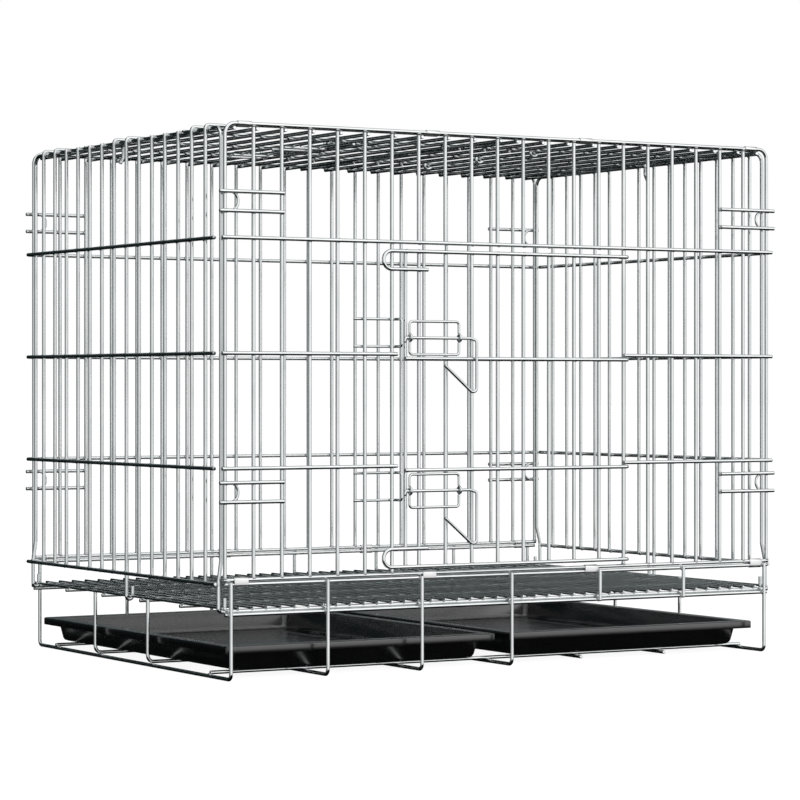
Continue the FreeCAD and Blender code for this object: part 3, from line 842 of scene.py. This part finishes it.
def stage_floor():
    s = 30.0
    mesh = bpy.data.meshes.new("floor")
    mesh.from_pydata([(-s, -s, -0.0004), (s, -s, -0.0004), (s, s, -0.0004), (-s, s, -0.0004)], [], [(0, 1, 2, 3)])
    ob = bpy.data.objects.new("floor", mesh)
    scene.collection.objects.link(ob)
    mat, nt, sh, co = new_material("floor_paint")
    col = ramp_of(nt, noise_of(nt, co, 3.0, 4.0), [(0.3, (0.20, 0.20, 0.20)), (0.7, (0.21, 0.21, 0.21))])
    nt.links.new(col, sh.inputs["Base Color"])
    sh.inputs["Roughness"].default_value = 0.9
    sh.inputs["Specular IOR Level"].default_value = 0.0
    sh.inputs["Emission Color"].default_value = (1.0, 1.0, 1.0, 1.0)
    sh.inputs["Emission Strength"].default_value = 0.93
    mesh.materials.append(mat)
    ob.visible_glossy = False


def softbox(name, place, target, size, power, colour=(1, 1, 1)):
    lamp = bpy.data.lights.new(name, "AREA")
    lamp.shape = "RECTANGLE"
    lamp.size, lamp.size_y = size
    lamp.energy = power
    lamp.color = colour
    ob = bpy.data.objects.new(name, lamp)
    scene.collection.objects.link(ob)
    ob.location = place
    ob.rotation_euler = (Vector(target) - Vector(place)).to_track_quat("-Z", "Y").to_euler()
    return ob


def set_world():
    """A white room to look at. What lights the wires is brighter in front, on the right and
    above, and dark behind, on the left and below, so that each wire shows its roundness."""
    world = bpy.data.worlds.new("studio")
    scene.world = world
    world.use_nodes = True
    nt = world.node_tree
    nt.nodes.clear()

    def link(a, b):
        nt.links.new(a, b)

    def ramp(value, lo, hi, a=0.0, b=1.0):
        m = nt.nodes.new("ShaderNodeMapRange")
        m.interpolation_type = "SMOOTHSTEP"
        m.inputs["From Min"].default_value = lo
        m.inputs["From Max"].default_value = hi
        m.inputs["To Min"].default_value = a
        m.inputs["To Max"].default_value = b
        link(value, m.inputs["Value"])
        return m.outputs[0]

    def times(a, b):
        m = nt.nodes.new("ShaderNodeMath")
        m.operation = "MULTIPLY"
        link(a, m.inputs[0])
        link(b, m.inputs[1])
        return m.outputs[0]

    def blend(fac, a, b):
        m = nt.nodes.new("ShaderNodeMix")
        m.data_type = "RGBA"
        for socket, value in ((m.inputs[6], a), (m.inputs[7], b)):
            if isinstance(value, tuple):
                socket.default_value = value
            else:
                link(value, socket)
        link(fac, m.inputs[0])
        return m.outputs[2]

    out = nt.nodes.new("ShaderNodeOutputWorld")
    seen = nt.nodes.new("ShaderNodeBackground")
    seen.inputs[0].default_value = (1, 1, 1, 1)
    coord = nt.nodes.new("ShaderNodeTexCoord")
    toward = nt.nodes.new("ShaderNodeVectorMath")
    toward.operation = "DOT_PRODUCT"
    toward.inputs[1].default_value = (0.63, -0.652, 0.423)
    link(coord.outputs["Generated"], toward.inputs[0])
    split = nt.nodes.new("ShaderNodeSeparateXYZ")
    link(coord.outputs["Generated"], split.inputs[0])
    ahead = nt.nodes.new("ShaderNodeVectorMath")
    ahead.operation = "DOT_PRODUCT"
    ahead.inputs[1].default_value = (-0.51, -0.86, 0.0)
    link(coord.outputs["Generated"], ahead.inputs[0])
    high = split.outputs["Z"]
    aside = nt.nodes.new("ShaderNodeVectorMath")
    aside.operation = "DOT_PRODUCT"
    aside.inputs[1].default_value = (-0.97, -0.24, 0.0)
    link(coord.outputs["Generated"], aside.inputs[0])
    # the bright side, weaker towards the rear; a grey fill from the left; a pale strip
    # straight behind; else dark, and nearly black from below
    bright = times(times(ramp(toward.outputs["Value"], -0.28, 0.20), ramp(high, -0.36, -0.10)),
                   ramp(ahead.outputs["Value"], -0.42, 0.16, 0.36, 1.0))
    fill = times(ramp(aside.outputs["Value"], 0.50, 0.92), ramp(high, -0.5, -0.2))
    strip = times(ramp(ahead.outputs["Value"], -0.97, -0.80, 1.0, 0.0), ramp(high, -0.01, 0.06))
    dark = blend(ramp(high, -0.12, 0.04), (0.004, 0.005, 0.005, 1), (0.030, 0.044, 0.046, 1))
    dark = blend(ramp(high, 0.08, 0.30), dark, (0.011, 0.017, 0.018, 1))
    dark = blend(strip, dark, (0.122, 0.15, 0.155, 1))
    dark = blend(fill, dark, (0.40, 0.41, 0.41, 1))
    tone = blend(bright, dark, (1.08, 1.08, 1.08, 1))
    room = nt.nodes.new("ShaderNodeBackground")
    link(tone, room.inputs[0])
    mix = nt.nodes.new("ShaderNodeMixShader")
    ray = nt.nodes.new("ShaderNodeLightPath")
    link(ray.outputs["Is Camera Ray"], mix.inputs[0])
    link(room.outputs[0], mix.inputs[1])
    link(seen.outputs[0], mix.inputs[2])
    link(mix.outputs[0], out.inputs[0])


stage_floor()
set_world()
softbox("key", (1.9, -2.6, 1.7), (0, 0, 0.2), (2.6, 2.6), 7.0)
softbox("overhead", (0.0, -0.4, 3.0), (0, 0, 0), (4.0, 3.2), 9.0)

cam = bpy.data.cameras.new("camera")
cam.sensor_fit, cam.sensor_width = "HORIZONTAL", 36.0
cam.lens = 2998.0 / 800.0 * 36.0
cam.shift_x, cam.shift_y = 0.0, -13.6 / 800.0
cam.clip_end = 100.0
eye = bpy.data.objects.new("camera", cam)
scene.collection.objects.link(eye)
eye.location = at(-1220.0, -2357.0, 261.2) * MM
eye.rotation_euler = (math.radians(90), 0, math.radians(-30.71))
scene.camera = eye
scene.view_settings.view_transform = "Standard"
